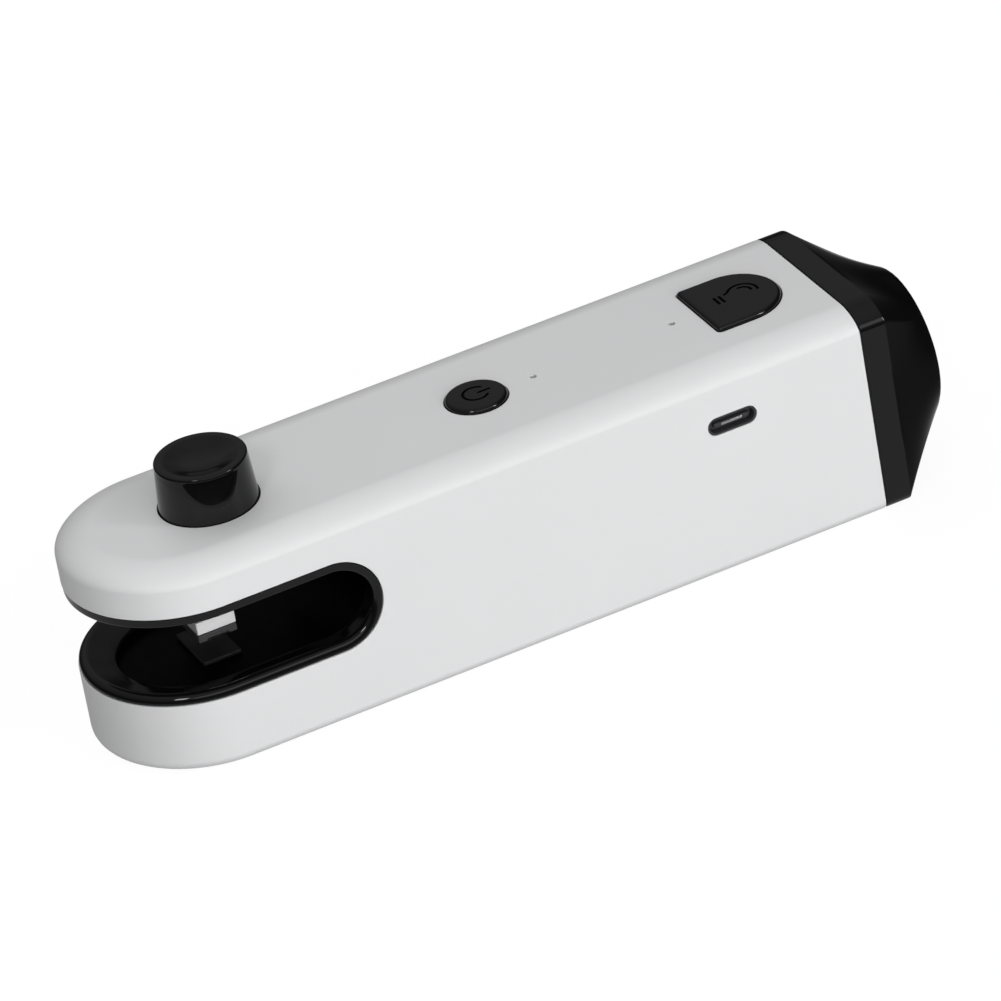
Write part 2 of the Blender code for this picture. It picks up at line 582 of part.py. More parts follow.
def main():
    clear_scene()
    white = make_material("white_plastic", (0.86, 0.86, 0.87), 0.42)
    black = make_material("black_gloss_plastic", (0.02, 0.02, 0.022), 0.16)
    dark = make_material("dark_plastic", (0.05, 0.05, 0.055), 0.5)
    grey = make_material("grey_plastic", (0.35, 0.35, 0.36), 0.5)
    steel = make_material("steel", (0.62, 0.62, 0.64), 0.3, 1.0)
    aluminium = make_material("aluminium", (0.83, 0.83, 0.85), 0.35, 1.0)
    brass = make_material("brass", (0.75, 0.58, 0.28), 0.3, 1.0)
    copper = make_material("copper", (0.72, 0.36, 0.2), 0.35, 1.0)
    alloy = make_material("heating_alloy", (0.42, 0.4, 0.38), 0.4, 1.0)
    ceramic = make_material("grey_ceramic", (0.2, 0.2, 0.21), 0.55)
    silicone = make_material("grey_silicone", (0.12, 0.12, 0.12), 0.6)
    rubber = make_material("black_rubber", (0.03, 0.03, 0.03), 0.7)
    lens = make_material("light_pipe_plastic", (0.55, 0.57, 0.6), 0.2)
    led = make_material("led_body", (0.85, 0.85, 0.75), 0.4)
    green = make_material("circuit_board", (0.03, 0.22, 0.1), 0.45)
    wrap = make_material("cell_wrap", (0.1, 0.25, 0.55), 0.4)
    red = make_material("red_wire", (0.6, 0.03, 0.03), 0.45)

    make_housing(white)
    make_base_cover(white, steel)
    make_slot_liner(black)
    make_rear_cap(black)
    make_mouth(rubber, dark)
    make_press_knob(black)
    make_plunger(steel, brass, dark, aluminium, ceramic, alloy)
    make_lower_jaw(silicone, dark)
    make_press_switch(dark, copper)
    make_buttons(black, dark, lens, led)
    make_board(green, dark, copper)
    make_port(steel, dark)
    make_chassis(grey)
    make_battery(wrap, red, dark)
    make_pump(steel, dark, grey, rubber, red)
    make_suction_tube(silicone)


main()
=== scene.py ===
"""The looks of a handheld bag heat sealer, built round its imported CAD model.

X runs from the round nose to the suction mouth, Y across and Z up, as in the frame. Sizes are in
millimetres, and MM turns them into metres as each piece is finished. Places come from the frame's boxes.
"""

import json
import math

import bmesh
import bpy
from mathutils import Matrix, Vector


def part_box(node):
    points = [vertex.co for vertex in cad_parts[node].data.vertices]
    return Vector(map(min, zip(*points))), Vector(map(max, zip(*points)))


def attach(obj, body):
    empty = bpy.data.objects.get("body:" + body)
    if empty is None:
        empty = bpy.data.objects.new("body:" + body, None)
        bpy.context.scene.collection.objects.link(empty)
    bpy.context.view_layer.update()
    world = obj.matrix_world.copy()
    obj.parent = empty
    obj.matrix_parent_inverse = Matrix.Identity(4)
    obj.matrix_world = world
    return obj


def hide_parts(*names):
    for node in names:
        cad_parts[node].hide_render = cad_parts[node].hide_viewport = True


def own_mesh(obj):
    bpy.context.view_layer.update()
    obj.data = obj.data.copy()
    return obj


MM = 0.001

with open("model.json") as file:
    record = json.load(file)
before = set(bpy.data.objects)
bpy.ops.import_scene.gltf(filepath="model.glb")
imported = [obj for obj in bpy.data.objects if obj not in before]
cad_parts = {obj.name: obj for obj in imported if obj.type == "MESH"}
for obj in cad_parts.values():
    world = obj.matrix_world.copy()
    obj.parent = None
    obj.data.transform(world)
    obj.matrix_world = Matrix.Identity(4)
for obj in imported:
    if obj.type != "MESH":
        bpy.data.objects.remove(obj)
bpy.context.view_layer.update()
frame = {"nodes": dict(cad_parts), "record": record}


def extent(node):
    """A CAD node's lowest and highest corners, in millimetres."""
    low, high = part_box(node)
    return low / MM, high / MM


def middle(node):
    """The middle of a CAD node's box, in millimetres."""
    low, high = extent(node)
    return (low + high) / 2


# Casing
SHELL_LOW, SHELL_HIGH = extent("housing")
HALF_WIDTH = SHELL_HIGH.y
HEIGHT = SHELL_HIGH.z
NOSE_X = SHELL_LOW.x + HALF_WIDTH
SHELL_END = SHELL_HIGH.x
WALL = 2.0
FOOT_RADIUS = 2.0
SHOULDER_IN = 6.4
SHOULDER_DOWN = 3.2
SHOULDER_POWER = 1.8
EDGE = 0.22
BORE_FROM = 33.0
BORE_DEPTH = 10.0

# The plate in the underside, and its screws
PLATE_INSET = 5.3
PLATE_END = 55.9
PLATE_GAP = 0.3
PLATE_THICKNESS = 1.6
VENTS = (34.0, 37.0, 40.0, 43.0)
VENT_REACH = 4.4
VENT_RADIUS = 0.6
COVER_SCREWS = [middle(f"cover_screw_{i}") for i in range(1, 5)]

# Bag slot
SLOT_LOW = 13.2
SLOT_HIGH = 30.36
SLOT_RADIUS = (SLOT_HIGH - SLOT_LOW) / 2
SLOT_MIDDLE = (SLOT_HIGH + SLOT_LOW) / 2
SLOT_ARC_X = NOSE_X + 19.2
SLOT_EDGE = 0.1

# Press knob and buttons
KNOB_X = middle("press_knob").x
KNOB_TOP = extent("press_knob")[1].z
KNOB_TOP_RADIUS = 8.0
KNOB_BASE_RADIUS = 8.63
KNOB_GAP = 0.25
POWER_X = middle("power_button").x
POWER_RADIUS = 5.47
BUTTON_TOP = extent("power_button")[1].z
FLANGE_LOW = 35.2
FLANGE_HIGH = 36.3
FLANGE_OUT = 0.7
VACUUM_RADIUS = 8.35
VACUUM_FLAT_X = extent("vacuum_button")[0].x + FLANGE_OUT
VACUUM_ARC_X = extent("vacuum_button")[1].x - FLANGE_OUT - VACUUM_RADIUS
BUTTON_GAP = 0.24
BUTTON_ROUNDING = 0.75
D_CORNER = 0.7
LIGHTS = {name: middle(name) for name in ("light_pipe_front", "light_pipe_rear")}
LIGHT_HOLE_RADIUS = 0.62
PORT = middle("usb_port_shell")
PORT_LENGTH = 9.43
PORT_HEIGHT = 3.43

# Rear cap
CAP_HIGH = extent("rear_cap")[1]
BAND_START = SHELL_END + 0.2
BAND_END = SHELL_END + 5.0
MOUTH_X = CAP_HIGH.x
MOUTH_Z = middle("mouth_seal").z
MOUTH_RADIUS = 13.5
MOUTH_BORE = 11.3


# ---------------------------------------------------------------- shape helpers


def arc(centre, radius, start, end, steps):
    """Points of a circle's arc, with its angles in degrees."""
    turns = [math.radians(start + (end - start) * i / steps) for i in range(steps + 1)]
    return [(centre[0] + radius * math.cos(turn), centre[1] + radius * math.sin(turn)) for turn in turns]


def filleted(corners, closed=False, steps=5):
    """Points of a line through (x, y, radius) corners, each rounded to its radius."""
    points = []
    last = len(corners) - 1
    for i, (x, y, radius) in enumerate(corners):
        here = Vector((x, y))
        if not radius or (not closed and i in (0, last)):
            points.append((x, y))
            continue
        back = (Vector(corners[i - 1][:2]) - here).normalized()
        ahead = (Vector(corners[(i + 1) % len(corners)][:2]) - here).normalized()
        half = back.angle(ahead) / 2
        start, end = here + back * radius / math.tan(half), here + ahead * radius / math.tan(half)
        centre = here + (back + ahead).normalized() * radius / math.sin(half)
        first = math.atan2(start.y - centre.y, start.x - centre.x)
        sweep = math.atan2(end.y - centre.y, end.x - centre.x) - first
        sweep = (sweep + math.pi) % (2 * math.pi) - math.pi
        for k in range(steps + 1):
            turn = first + sweep * k / steps
            points.append((centre.x + radius * math.cos(turn), centre.y + radius * math.sin(turn)))
    return points


def lathe(profile, steps, closed=False):
    """A bmesh turned about Z from (radius, height) points. A point on the axis becomes one vertex."""
    shape = bmesh.new()
    rings = []
    for radius, height in profile:
        if radius < 1e-6:
            rings.append([shape.verts.new((0, 0, height))])
            continue
        turns = [2 * math.pi * i / steps for i in range(steps)]
        rings.append([shape.verts.new((radius * math.cos(t), radius * math.sin(t), height)) for t in turns])
    pairs = list(zip(rings, rings[1:]))
    if closed:
        pairs.append((rings[-1], rings[0]))
    for lower, upper in pairs:
        for i in range(steps):
            j = (i + 1) % steps
            corners = [lower[i % len(lower)], lower[j % len(lower)]]
            corners += [upper[j % len(upper)], upper[i % len(upper)]]
            corners = list(dict.fromkeys(corners))
            if len(corners) > 2:
                shape.faces.new(corners)
    return shape


def loft(rings):
    """A bmesh skin, closed at both ends, through rings of as many (x, y, z) points each."""
    shape = bmesh.new()
    rows = [[shape.verts.new(point) for point in ring] for ring in rings]
    count = len(rows[0])
    for lower, upper in zip(rows, rows[1:]):
        for i in range(count):
            j = (i + 1) % count
            shape.faces.new((lower[i], lower[j], upper[j], upper[i]))
    shape.faces.new(rows[0][::-1])
    shape.faces.new(rows[-1])
    return shape


def prism(outline, low, high, along="z"):
    """A bmesh from an outline in X and Y carried up Z, in X and Z along Y, or in Y and Z along X."""
    place = {"z": lambda a, b, c: (a, b, c),
             "y": lambda a, b, c: (a, c, b),
             "x": lambda a, b, c: (c, a, b)}[along]
    return loft([[place(a, b, c) for a, b in outline] for c in (low, high)])


def block(low, high, edge=0.0):
    """A bmesh box with rounded edges."""
    low, high = Vector(low), Vector(high)
    shape = bmesh.new()
    size = Matrix.Diagonal((*(high - low), 1.0))
    bmesh.ops.create_cube(shape, size=1.0, matrix=Matrix.Translation((low + high) / 2) @ size)
    if edge:
        bmesh.ops.bevel(shape, geom=list(shape.edges), offset=edge, segments=3, profile=0.5, affect="EDGES")
    return shape


def moved(shape, origin, axis="z"):
    """Turns a bmesh's Z axis onto axis and moves it to origin."""
    turn = {"x": Matrix.Rotation(math.pi / 2, 4, "Y"), "y": Matrix.Rotation(-math.pi / 2, 4, "X"),
            "z": Matrix()}[axis]
    bmesh.ops.transform(shape, matrix=Matrix.Translation(origin) @ turn, verts=shape.verts)
    return shape


def hole(x, y, z, axis, radius, depth, steps=48):
    """A cutter: a cylinder from a point along an axis."""
    return moved(lathe([(0, 0), (radius, 0), (radius, depth), (0, depth)], steps), (x, y, z), axis)


def stroke(points, width, low, high):
    """A cutter for an engraved line: a strip with round ends along points."""
    half = width / 2
    line = [Vector(point) for point in points]
    sides = []
    for i, point in enumerate(line):
        way = (line[min(i + 1, len(line) - 1)] - line[max(i - 1, 0)]).normalized()
        sides.append(Vector((-way.y, way.x)) * half)
    start = math.degrees(math.atan2(sides[0].y, sides[0].x))
    end = math.degrees(math.atan2(-sides[-1].y, -sides[-1].x))
    outline = [tuple(point - side) for point, side in zip(line, sides)]
    outline += arc(line[-1], half, end, end + 180, 6)[1:-1]
    outline += [tuple(point + side) for point, side in reversed(list(zip(line, sides)))]
    outline += arc(line[0], half, start, start + 180, 6)[1:-1]
    return prism(outline, low, high)


def solid(name, shape):
    """A working object, in millimetres."""
    bmesh.ops.recalc_face_normals(shape, faces=shape.faces)
    mesh = bpy.data.meshes.new(name)
    shape.to_mesh(mesh)
    shape.free()
    thing = bpy.data.objects.new(name, mesh)
    bpy.context.scene.collection.objects.link(thing)
    return thing


def carve(thing, *cutters, operation="DIFFERENCE"):
    """Booleans bmesh cutters into a working object, for good."""
    others = [solid("cutter", cutter) for cutter in cutters]
    for other in others:
        step = thing.modifiers.new("carve", "BOOLEAN")
        step.operation = operation
        step.object = other
        step.solver = "EXACT"
    bpy.context.view_layer.update()
    graph = bpy.context.evaluated_depsgraph_get()
    mesh = bpy.data.meshes.new_from_object(thing.evaluated_get(graph))
    thing.modifiers.clear()
    thing.data = mesh
    for other in others:
        bpy.data.objects.remove(other)


def soften(thing, width, chosen, segments=3):
    """Rounds the sharp edges whose two ends are both chosen."""
    shape = bmesh.new()
    shape.from_mesh(thing.data)
    bmesh.ops.remove_doubles(shape, verts=shape.verts, dist=1e-4)
    bmesh.ops.dissolve_degenerate(shape, edges=shape.edges, dist=1e-4)
    edges = [edge for edge in shape.edges
             if len(edge.link_faces) == 2 and edge.calc_face_angle() > math.radians(50)
             and all(chosen(vert.co) for vert in edge.verts)]
    bmesh.ops.bevel(shape, geom=edges, offset=width, segments=segments, profile=0.5, affect="EDGES",
                    clamp_overlap=True)
    shape.to_mesh(thing.data)
    shape.free()


def finish(thing, material, replaces=(), body="casing", sharp=38.0):
    """Makes a working object, or a bmesh with a name, a piece of the model."""
    if isinstance(thing, tuple):
        thing = solid(*thing)
    thing.data.transform(Matrix.Scale(MM, 4))
    if thing.data.materials:
        thing.data.materials[0] = material
    else:
        thing.data.materials.append(material)
    thing.data.shade_smooth()
    thing.data.set_sharp_from_angle(angle=math.radians(sharp))
    normals = thing.modifiers.new("normals", "WEIGHTED_NORMAL")
    normals.keep_sharp = True
    normals.weight = 100
    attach(thing, body)
    if replaces:
        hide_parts(*replaces)
    return thing


# ---------------------------------------------------------------- materials


def add_node(tree, kind, **inputs):
    node = tree.nodes.new(kind)
    for name, value in inputs.items():
        node.inputs[name.replace("_", " ")].default_value = value
    return node


def mapped_noise(tree, scale, detail=3.0, stretch=(1, 1, 1), roughness=0.5):
    """Noise in the object's own space, in metres, with features of about 1/scale."""
    place = tree.nodes.new("ShaderNodeTexCoord")
    mapping = tree.nodes.new("ShaderNodeMapping")
    mapping.inputs["Scale"].default_value = stretch
    tree.links.new(place.outputs["Object"], mapping.inputs["Vector"])
    noise = add_node(tree, "ShaderNodeTexNoise", Scale=scale, Detail=detail, Roughness=roughness)
    tree.links.new(mapping.outputs["Vector"], noise.inputs["Vector"])
    return noise.outputs["Fac"]


def ranged(tree, value, low, high):
    """Value, which stays near the middle of 0 to 1, spread over low to high."""
    spread = add_node(tree, "ShaderNodeMapRange")
    spread.inputs["From Min"].default_value = 0.3
    spread.inputs["From Max"].default_value = 0.7
    spread.inputs["To Min"].default_value = low
    spread.inputs["To Max"].default_value = high
    tree.links.new(value, spread.inputs["Value"])
    return spread.outputs["Result"]


def surface(name, colour, rough, metallic=0.0, tint=0.03, patch=60.0, grain=0.0, grain_scale=6000.0,
            stretch=(1, 1, 1), specular=0.5, wave=0.0):
    """A moulded, turned or coated surface: colour and roughness that vary in patches, and a fine grain.

    rough is (smoothest, roughest). grain and wave are the heights of the fine and the broad relief, in
    millimetres.
    """
    material = bpy.data.materials.new(name)
    material.use_nodes = True
    tree = material.node_tree
    shader = tree.nodes["Principled BSDF"]
    shader.inputs["Metallic"].default_value = metallic
    shader.inputs["Specular IOR Level"].default_value = specular
    material.diffuse_color = (*colour, 1.0)

    patches = mapped_noise(tree, patch, detail=4.0, stretch=stretch)
    mix = tree.nodes.new("ShaderNodeMix")
    mix.data_type = "RGBA"
    mix.inputs[6].default_value = (*[c * (1 - tint) for c in colour], 1.0)
    mix.inputs[7].default_value = (*[min(c * (1 + tint), 1.0) for c in colour], 1.0)
    tree.links.new(ranged(tree, patches, 0.0, 1.0), mix.inputs[0])
    tree.links.new(mix.outputs[2], shader.inputs["Base Color"])

    smears = mapped_noise(tree, patch * 4.0, detail=6.0, stretch=stretch, roughness=0.6)
    tree.links.new(ranged(tree, smears, *rough), shader.inputs["Roughness"])

    normal = None
    for height, scale, detail in ((wave, 260.0, 1.0), (grain, grain_scale, 2.0)):
        if height:
            bump = add_node(tree, "ShaderNodeBump", Strength=1.0, Distance=height * MM)
            tree.links.new(mapped_noise(tree, scale, detail, stretch), bump.inputs["Height"])
            if normal:
                tree.links.new(normal, bump.inputs["Normal"])
            normal = bump.outputs["Normal"]
    if normal:
        tree.links.new(normal, shader.inputs["Normal"])
    return material


BRUSHED = (1.0, 1.0, 14.0)
ROLLED = (1.0, 14.0, 14.0)

LOOKS = {
    "white_shell": surface("white_shell", (0.615, 0.618, 0.624), (0.40, 0.50), tint=0.012, patch=22,
                           grain=0.0035, grain_scale=7000),
    "black_gloss": surface("black_gloss", (0.0035, 0.0035, 0.0037), (0.04, 0.09), tint=0.1, patch=90,
                           wave=0.0012, specular=0.36),
    "dark_plastic": surface("dark_plastic", (0.045, 0.045, 0.048), (0.42, 0.58), tint=0.1, grain=0.006,
                            grain_scale=5200),
    "grey_plastic": surface("grey_plastic", (0.33, 0.33, 0.34), (0.42, 0.56), grain=0.005, grain_scale=5200),
    "steel": surface("steel", (0.60, 0.60, 0.62), (0.22, 0.42), metallic=1.0, tint=0.06, patch=300,
                     stretch=BRUSHED, grain=0.0015),
    "aluminium": surface("aluminium", (0.93, 0.93, 0.94), (0.6, 0.72), metallic=0.25, tint=0.03, patch=240,
                         stretch=ROLLED, grain=0.003),
    "brass": surface("brass", (0.72, 0.53, 0.25), (0.2, 0.4), metallic=1.0, tint=0.08, patch=240,
                     stretch=BRUSHED),
    "copper": surface("copper", (0.72, 0.36, 0.2), (0.25, 0.45), metallic=1.0, tint=0.1, patch=400,
                      stretch=BRUSHED, grain=0.004, grain_scale=2400),
    "heating_alloy": surface("heating_alloy", (0.45, 0.42, 0.39), (0.3, 0.5), metallic=1.0, tint=0.12,
                             stretch=ROLLED),
    "ceramic": surface("ceramic", (0.055, 0.055, 0.057), (0.35, 0.5), tint=0.08, grain=0.004,
                       grain_scale=4200),
    "grey_silicone": surface("grey_silicone", (0.009, 0.009, 0.0095), (0.4, 0.55), tint=0.08, grain=0.003,
                             specular=0.25),
    "black_rubber": surface("black_rubber", (0.022, 0.022, 0.023), (0.5, 0.68), tint=0.15, grain=0.006),
    "light_pipe": surface("light_pipe", (0.24, 0.25, 0.26), (0.12, 0.22), tint=0.05),
    "led_body": surface("led_body", (0.85, 0.83, 0.70), (0.3, 0.4), tint=0.04),
    "circuit_board": surface("circuit_board", (0.02, 0.17, 0.07), (0.25, 0.4), tint=0.25, patch=420,
                             grain=0.004, grain_scale=1800),
    "cell_wrap": surface("cell_wrap", (0.08, 0.22, 0.5), (0.2, 0.34), tint=0.06, wave=0.05),
    "red_wire": surface("red_wire", (0.55, 0.02, 0.02), (0.3, 0.42), tint=0.08),
    "black_wire": surface("black_wire", (0.02, 0.02, 0.02), (0.3, 0.45), tint=0.12),
}

# Painted shade on black parts: a darker black with less shine where shade falls in the knob's scoop, then in
# the slot's deep inside and in the buttons' cut signs
SCOOP_PAINTED_SHADE = surface("scoop_painted_shade", (0.0018, 0.0018, 0.0018), (0.16, 0.26), tint=0.12, patch=90,
                      specular=0.14)
# Painted shade for the slot's deep inside and the signs' grooves: a near-black with almost no shine
SHADE_BLACK = surface("painted_shade_black", (0.001, 0.001, 0.001), (0.3, 0.42), tint=0.15, patch=90, specular=0.03)
# Dark grey metal for the socket's shell and tongue. The shell is bright steel, so its dark grey is painted
# shade inside the socket
SHADED_PORT_METAL = surface("shaded_port_metal", (0.055, 0.055, 0.058), (0.3, 0.45), metallic=0.5, tint=0.05)


def paint(thing, material, chosen):
    thing.data.materials.clear()
    thing.data.materials.append(material)
    thing.data.materials.append(material)
    for face in thing.data.polygons:
        if chosen(face.center):
            face.material_index = 1


def dress_cad_nodes():
    """Gives every CAD node the look of its material slot."""
    for part in frame["record"]["subparts"]:
        thing = frame["nodes"][part["node"]]
        thing.data.materials.clear()
        thing.data.materials.append(LOOKS[part["material_slot"]])


# ---------------------------------------------------------------- casing


def plan(inset, end_x, steps=72):
    """The casing's outline from above, moved in by inset: a half-round nose and a square end."""
    reach = HALF_WIDTH - inset
    return [(end_x, -reach), *arc((NOSE_X, 0), reach, 270, 90, steps), (end_x, reach)]


def shoulder(steps=14):
    """(inset, height) points of the soft top edge, from the side wall to the flat top."""
    points = []
    for i in range(steps + 1):
        turn = math.pi / 2 * i / steps
        inward = SHOULDER_IN * (1 - math.cos(turn) ** (2 / SHOULDER_POWER))
        up = SHOULDER_DOWN * math.sin(turn) ** (2 / SHOULDER_POWER)
        points.append((inward, HEIGHT - SHOULDER_DOWN + up))
    return points


def foot(steps=6):
    """(inset, height) points of the round lower edge."""
    return arc((FOOT_RADIUS, FOOT_RADIUS), FOOT_RADIUS, 270, 180, steps)


def slot_outline(steps=48):
    """The slot seen from the side, open past the nose."""
    front = NOSE_X - 2 * HALF_WIDTH
    round_end = arc((SLOT_ARC_X, SLOT_MIDDLE), SLOT_RADIUS, -90, 90, steps)
    return [(front, SLOT_MIDDLE - SLOT_RADIUS), *round_end, (front, SLOT_MIDDLE + SLOT_RADIUS)]


def stadium(length, height, steps=20, centre=(0.0, 0.0)):
    """A slot with round ends."""
    reach = length / 2 - height / 2
    left, right = (centre[0] - reach, centre[1]), (centre[0] + reach, centre[1])
    return arc(right, height / 2, -90, 90, steps) + arc(left, height / 2, 90, 270, steps)


def d_outline(grow, steps=40):
    """The vacuum button from above: a flat front edge, straight sides and a half-round back."""
    radius = VACUUM_RADIUS + grow
    flat = VACUUM_FLAT_X - grow
    corner = max(D_CORNER + grow, 0.15)
    back = arc((VACUUM_ARC_X, 0), radius, -90, 90, steps)
    far = arc((flat + corner, radius - corner), corner, 90, 180, 6)
    near = arc((flat + corner, corner - radius), corner, 180, 270, 6)
    return back + far + near


def on_skin(point):
    """True for a point on the casing's outside, or on its end face."""
    if point.z > HEIGHT - 0.01 or point.z < 0.01 or point.x > SHELL_END - 0.01:
        return True
    if point.x > NOSE_X:
        return abs(point.y) > HALF_WIDTH - 0.01
    return math.hypot(point.x - NOSE_X, point.y) > HALF_WIDTH - 0.03


def on_slot(point):
    """True for a point on the slot's outline."""
    if point.x < SLOT_ARC_X:
        return abs(abs(point.z - SLOT_MIDDLE) - SLOT_RADIUS) < 0.02
    return abs(math.hypot(point.x - SLOT_ARC_X, point.z - SLOT_MIDDLE) - SLOT_RADIUS) < 0.02


def build_housing():
    """The white casing: a hollow shell with the slot, and holes for knob, keys, lights, port and plate."""
    outside = [[(x, y, z) for x, y in plan(inset, SHELL_END)] for inset, z in foot() + shoulder()]
    past = SHELL_END + 5
    within = [(WALL, WALL)] + [(WALL + inset, z - WALL) for inset, z in shoulder(8)]
    inside = [[(x, y, z) for x, y in plan(inset, past)] for inset, z in within]
    port = stadium(PORT_LENGTH, PORT_HEIGHT, centre=(PORT.x, PORT.z))
    housing = solid("housing_shell", loft(outside))
    carve(
        housing, loft(inside), prism(slot_outline(), -30, 30, "y"),
        prism(plan(PLATE_INSET - PLATE_GAP, PLATE_END + PLATE_GAP), -5, WALL + 1),
        hole(KNOB_X, 0, BORE_FROM, "z", KNOB_BASE_RADIUS + KNOB_GAP, BORE_DEPTH, 96),
        hole(POWER_X, 0, BORE_FROM, "z", POWER_RADIUS + BUTTON_GAP, BORE_DEPTH, 80),
        prism(d_outline(BUTTON_GAP), BORE_FROM, BORE_FROM + BORE_DEPTH),
        prism(port, -HALF_WIDTH - 5, -HALF_WIDTH + 5, "y"),
        *[hole(spot.x, 0, BORE_FROM, "z", LIGHT_HOLE_RADIUS, BORE_DEPTH, 24) for spot in LIGHTS.values()],
    )
    soften(housing, SLOT_EDGE, lambda p: on_skin(p) and on_slot(p), 2)
    soften(housing, EDGE, lambda p: on_skin(p) and not on_slot(p))
    finish(housing, LOOKS["white_shell"], ["housing"])


# ---------------------------------------------------------------- slot liner

# The lining's section is drawn as (inset from the side wall, distance into the slot) points: a round lip, a
# land that slopes to a step, and the cavity's floor. "crown" is the lip's distance into the slot and "round"
# its radius. "edge" is the land's distance at the step, "floor" the cavity's and "back" the skin's behind.
LIP_OUT = 0.14
STEP_INSET = 6.9
STEP_ROUND = 0.3
WALL_BEHIND = 0.9
LOWER = {"crown": 1.7, "round": 1.3, "edge": -0.05, "floor": -1.6, "back": -2.7, "inset": STEP_INSET}
TIP = {**LOWER, "inset": STEP_INSET - 0.4}
REAR = {"crown": 1.7, "round": 1.1, "edge": 0.35, "floor": -0.6, "back": -1.6, "inset": STEP_INSET}
UPPER = {"crown": 1.8, "round": 0.5, "edge": 1.6, "floor": 1.5, "back": 0.15, "inset": STEP_INSET}


def lip_section(level):
    """Front points, from behind the lip's edge to the cavity, and back points, returning."""
    crown, radius = level["crown"], level["round"]
    rounding = arc((LIP_OUT + radius, crown - radius), radius, 180, 82, 8)
    inset = level["inset"]
    reach = inset - WALL_BEHIND
    slope = (level["edge"] - crown) / (inset - rounding[-1][0])
    step = max(level["edge"] - level["floor"], 0.02)
    first = rounding[-1]
    last = (inset - STEP_ROUND, level["edge"] - STEP_ROUND * slope)
    land = [tuple(a + (b - a) * t for a, b in zip(first, last)) for t in (0.1, 0.35, 0.7, 1)]
    drop = []
    for turn in (math.radians(degrees) for degrees in (22, 45, 68, 90)):
        fall = min(STEP_ROUND, step / 2) * (1 - math.cos(turn))
        drop.append((last[0] + STEP_ROUND * math.sin(turn), level["edge"] - fall))
    for away, share in ((0.03, 0.3), (0.1, 0.1), (0.25, 0.02), (0.5, 0.0)):
        drop.append((inset + away, level["floor"] + share * step))
    front = [(2.3, 0.06), (LIP_OUT + 0.14, 0.06), (LIP_OUT, 0.2)] + rounding + land + drop
    back = [(reach, level["back"]), (2.6, level["back"] + 0.3)]
    return front, back


def blended(start, end, share):
    """A lip section's levels, eased from start to end."""
    share = share * share * (3 - 2 * share)
    return {key: start[key] + (end[key] - start[key]) * share for key in start}


def liner_stations():
    """Round the slot's outline: (place, levels), where place turns (inset, inward) into (x, y, z)."""
    stations = []

    def level_at(turn):
        rise = math.sin(turn)
        return blended(REAR, UPPER, rise) if rise > 0 else blended(REAR, LOWER, -rise)

    def on_arc(turn, side):
        def place(inset, inward):
            reach = SLOT_RADIUS - inward
            return (SLOT_ARC_X + reach * math.cos(turn), side * (HALF_WIDTH - inset),
                    SLOT_MIDDLE + reach * math.sin(turn))
        return place

    def on_nose(turn, up):
        def place(inset, inward):
            reach = HALF_WIDTH - inset
            z = SLOT_HIGH - inward if up else SLOT_LOW + inward
            return (NOSE_X + reach * math.cos(turn), reach * math.sin(turn), z)
        return place

    arcs, nose = 36, 72
    for i in range(arcs):
        turn = math.pi / 2 - math.pi * i / arcs
        stations.append((on_arc(turn, -1), level_at(turn)))
    stations.append((on_arc(-math.pi / 2, -1), LOWER))
    for i in range(nose + 1):
        turn = math.pi * (1.5 - i / nose)
        stations.append((on_nose(turn, False), blended(LOWER, TIP, math.cos(turn) ** 2)))
    stations.append((on_arc(-math.pi / 2, 1), LOWER))
    for i in range(1, arcs):
        turn = -math.pi / 2 + math.pi * i / arcs
        stations.append((on_arc(turn, 1), level_at(turn)))
    stations.append((on_arc(math.pi / 2, 1), UPPER))
    for i in range(nose + 1):
        stations.append((on_nose(math.pi * (0.5 + i / nose), True), UPPER))
    return stations, arcs, nose


def build_slot_liner():
    """The gloss black lining: a lip all round, a land behind it, and a recess in the lower jaw."""
    stations, arcs, nose = liner_stations()
    shape = bmesh.new()
    rows = []
    for place, level in stations:
        front, back = lip_section(level)
        rows.append([shape.verts.new(place(inset, inward)) for inset, inward in front + back[::-1]])
    fronts = len(lip_section(LOWER)[0])
    count = len(stations)
    # The front skin runs from the lip's back edge to the cavity, and the back skin returns behind it.
    for i in range(count):
        here, ahead = rows[i], rows[(i + 1) % count]
        for k in range(fronts - 1):
            shape.faces.new((here[k], here[k + 1], ahead[k + 1], ahead[k]))
        shape.faces.new((here[fronts], here[0], ahead[0], ahead[fronts]))
        shape.faces.new((here[fronts + 1], here[fronts], ahead[fronts], ahead[fronts + 1]))
    low_first, low_count = arcs, nose + 3
    high_first = arcs + low_count + arcs - 1
    for column in (fronts - 1, fronts + 1):
        floor = [rows[low_first + k][column] for k in range(low_count)]
        roof = [rows[(high_first + k) % count][column] for k in range(nose + 2)] + [rows[0][column]]
        shape.faces.new(floor)
        shape.faces.new(roof)
        near = [rows[arcs - k][column] for k in range(arcs + 1)]
        far = [rows[low_first + low_count - 1 + k][column] for k in range(arcs + 1)]
        for k in range(arcs):
            shape.faces.new((near[k], near[k + 1], far[k + 1], far[k]))
    liner = solid("slot_lining", shape)
    rod_hole_from, rod_hole_radius = 27.0, 4.3
    carve(liner, hole(KNOB_X, 0, rod_hole_from, "z", rod_hole_radius, 6, 64))
    recess = SLOT_LOW + LOWER["floor"] + 0.9
    deep = HALF_WIDTH - STEP_INSET - 0.1
    # Painted shade: the lining's deep inside, low in the recess and behind the rear arc, takes the painted
    # shade black
    paint(liner, SHADE_BLACK, lambda at: at.z < recess or (at.x > SLOT_ARC_X and abs(at.y) < deep))
    finish(liner, LOOKS["black_gloss"], ["slot_liner"], sharp=32)


# ---------------------------------------------------------------- rear cap


